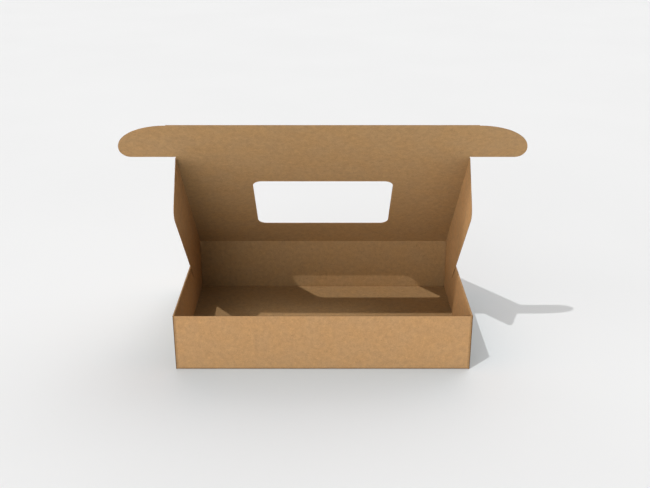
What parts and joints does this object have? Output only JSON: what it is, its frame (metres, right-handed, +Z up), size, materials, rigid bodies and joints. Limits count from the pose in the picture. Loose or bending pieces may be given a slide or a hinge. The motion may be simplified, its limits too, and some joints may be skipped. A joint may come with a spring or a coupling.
{
  "type": "mailer box",
  "caption": "Folded kraft board mailer box with a shallow tray, a hinged lid with a rounded window, side flaps and a tuck flap with rounded ears.",
  "frame": {"origin": "under the middle of the tray, on the surface it stands on", "axes": "+X to the box's right seen from the front, +Y to the hinge side, +Z up"},
  "size_m": [0.4044, 0.201, 0.2499],
  "materials": {
    "kraft_board": "uncoated natural kraft"
  },
  "bodies": {
    "tray": {"tray": "kraft_board"},
    "lid": {"lid_panel": "kraft_board"},
    "left_flap": {"side_flap_left": "kraft_board"},
    "right_flap": {"side_flap_right": "kraft_board"},
    "tuck": {"tuck_flap": "kraft_board"},
    "left_ear": {"ear_left": "kraft_board"},
    "right_ear": {"ear_right": "kraft_board"}
  },
  "joints": [
    {"name": "lid_hinge", "type": "hinge", "parent": "tray", "child": "lid", "pos_m": [0, 0.10025, 0.06075], "axis": [-1, 0, 0], "range_deg": [-46.9, 133.1]},
    {"name": "left_flap_fold", "type": "hinge", "parent": "lid", "child": "left_flap", "pos_m": [-0.1479, 0.03163, 0.13349], "axis": [0, -0.6833, 0.7302], "range_deg": [0, 90]},
    {"name": "right_flap_fold", "type": "hinge", "parent": "lid", "child": "right_flap", "pos_m": [0.1479, 0.03163, 0.13349], "axis": [0, 0.6833, -0.7302], "range_deg": [0, 90]},
    {"name": "tuck_fold", "type": "hinge", "parent": "lid", "child": "tuck", "pos_m": [0, -0.03572, 0.20605], "axis": [1, 0, 0], "range_deg": [0, 90]},
    {"name": "left_ear_fold", "type": "hinge", "parent": "tuck", "child": "left_ear", "pos_m": [-0.14745, -0.05622, 0.22796], "axis": [0, -0.6833, 0.7302], "range_deg": [0, 90]},
    {"name": "right_ear_fold", "type": "hinge", "parent": "tuck", "child": "right_ear", "pos_m": [0.14745, -0.05622, 0.22796], "axis": [0, 0.6833, -0.7302], "range_deg": [0, 90]}
  ]
}
